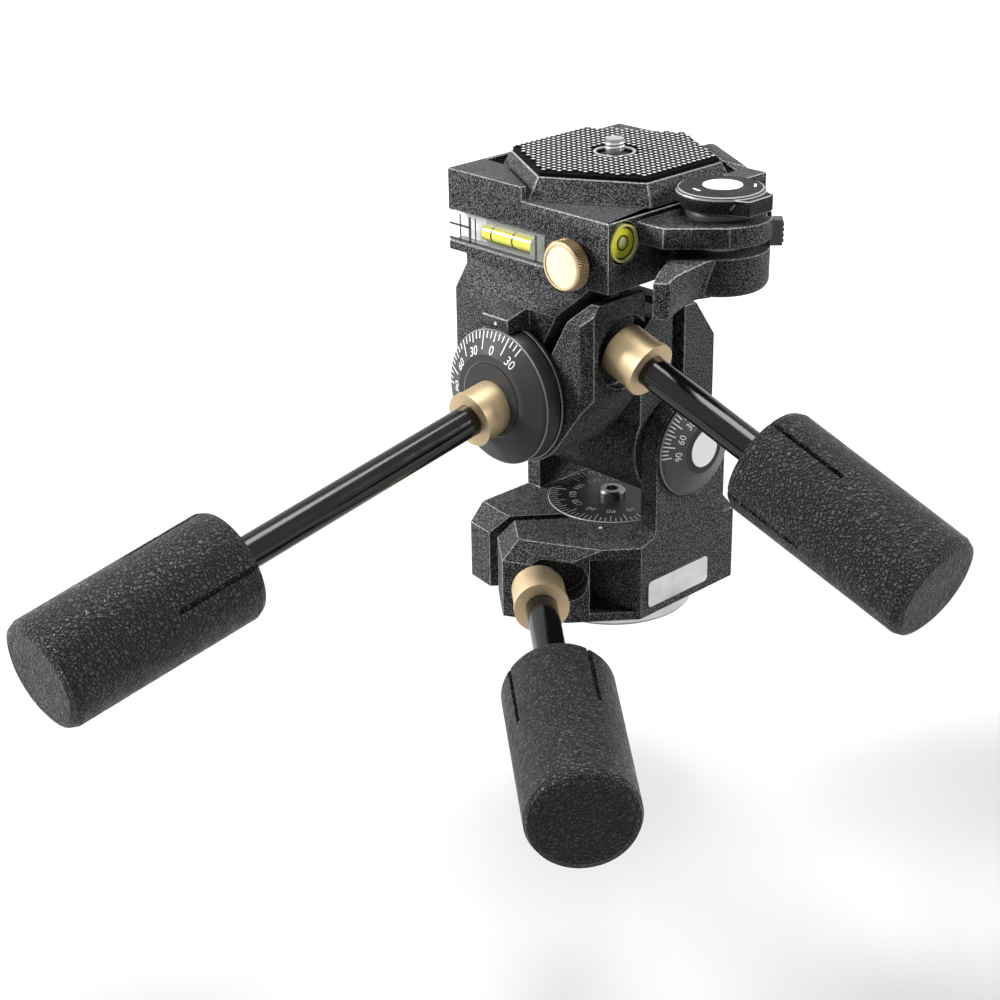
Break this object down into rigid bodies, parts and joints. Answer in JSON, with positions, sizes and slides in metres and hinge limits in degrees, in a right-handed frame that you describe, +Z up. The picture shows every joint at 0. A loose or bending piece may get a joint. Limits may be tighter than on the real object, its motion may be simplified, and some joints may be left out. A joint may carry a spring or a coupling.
{
  "type": "three way pan tilt head",
  "caption": "Tripod head that pans, tilts forward and tilts sideways, each axis locked by its own handle, with levels and a quick release camera plate.",
  "frame": {"origin": "mouth of the tripod thread, on the pan axis in the underside of the base disc", "axes": "+Z up along the pan axis, -Y towards the viewer (the front tilt handle), +X to the viewer's right"},
  "size_m": [0.205, 0.2867, 0.1773],
  "materials": {
    "bare_aluminium": "satin",
    "steel": "satin",
    "black_coat": "matte",
    "scale_black": "satin",
    "dial_grey": "satin",
    "plate_white": "gloss",
    "black_plastic": "matte",
    "clear_block": "gloss",
    "vial_yellow": "gloss",
    "brass_parts": "satin",
    "pad_rubber": "matte",
    "rod_black": "gloss",
    "grip_rubber": "matte"
  },
  "bodies": {
    "base": {"base_plate": "bare_aluminium", "pan_spindle": "steel", "thrust_washer": "black_plastic", "pan_scale_disc": "scale_black", "spindle_screw": "steel"},
    "pan_unit": {"lower_casting": "black_coat", "side_plate": "plate_white", "tilt_trunnion": "black_coat"},
    "tilt_unit": {"middle_casting": "black_coat", "tilt_scale_dial": "dial_grey", "dial_screw": "steel", "dial_cap": "plate_white", "lateral_shaft": "black_coat", "lateral_washer": "steel", "lateral_scale_disc": "scale_black"},
    "platform": {"platform_casting": "black_coat", "level_block": "clear_block", "level_vial": "vial_yellow", "round_level_cup": "black_plastic", "round_level_lens": "vial_yellow"},
    "thumb": {"thumb_screw": "brass_parts"},
    "lever": {"release_lever": "black_coat", "lever_post": "steel", "lever_spring": "steel", "lever_cap": "black_coat"},
    "catch": {"safety_catch": "black_plastic"},
    "plate": {"camera_plate": "black_coat", "plate_pad": "pad_rubber"},
    "plate_screw": {"camera_screw": "steel"},
    "pan_handle": {"pan_collar": "brass_parts", "pan_clamp_screw": "steel", "pan_rod": "rod_black", "pan_grip": "grip_rubber"},
    "tilt_handle": {"tilt_collar": "brass_parts", "tilt_clamp_screw": "steel", "tilt_rod": "rod_black", "tilt_grip": "grip_rubber"},
    "lateral_handle": {"lateral_collar": "brass_parts", "lateral_clamp_screw": "steel", "lateral_rod": "rod_black", "lateral_grip": "grip_rubber"}
  },
  "joints": [
    {"name": "pan", "type": "hinge", "parent": "base", "child": "pan_unit", "pos_m": [0, 0, 0], "axis": [0, 0, 1], "continuous": true},
    {"name": "front_tilt", "type": "hinge", "parent": "pan_unit", "child": "tilt_unit", "pos_m": [0, 0, 0.07], "axis": [1, 0, 0], "range_deg": [-90, 30]},
    {"name": "lateral_tilt", "type": "hinge", "parent": "tilt_unit", "child": "platform", "pos_m": [0, 0, 0.0935], "axis": [0, 1, 0], "range_deg": [-90, 30]},
    {"name": "pan_lock", "type": "hinge", "parent": "pan_unit", "child": "pan_handle", "pos_m": [0.0151, -0.0532, 0.0231], "axis": [0.7757, -0.6259, -0.0811], "range_deg": [0, 180]},
    {"name": "tilt_lock", "type": "hinge", "parent": "tilt_unit", "child": "tilt_handle", "pos_m": [0, -0.057, 0.0913], "axis": [0, -0.9844, -0.1761], "range_deg": [0, 180]},
    {"name": "lateral_lock", "type": "hinge", "parent": "platform", "child": "lateral_handle", "pos_m": [0.036, -0.031, 0.1115], "axis": [0.9449, 0, -0.3272], "range_deg": [0, 180]},
    {"name": "thumb_turn", "type": "hinge", "parent": "platform", "child": "thumb", "pos_m": [0.023, -0.043, 0.1427], "axis": [0, -1, 0], "range_deg": [0, 360]},
    {"name": "lever_swing", "type": "hinge", "parent": "platform", "child": "lever", "pos_m": [0.051, -0.004, 0.1395], "axis": [0, 0, 1], "range_deg": [0, 85], "stiffness_Nm_per_rad": 0.02, "springref_deg": -57.3},
    {"name": "catch_slide", "type": "slide", "parent": "platform", "child": "catch", "axis": [0.7314, 0.682, 0], "range_m": [0, 0.002], "stiffness_N_per_m": 200, "springref_m": -0.002},
    {"name": "plate_lift", "type": "slide", "parent": "platform", "child": "plate", "axis": [0, 0, 1], "range_m": [0, 0.012]},
    {"name": "camera_screw_turn", "type": "hinge", "parent": "plate", "child": "plate_screw", "pos_m": [0, 0, 0.1672], "axis": [0, 0, 1], "continuous": true}
  ]
}
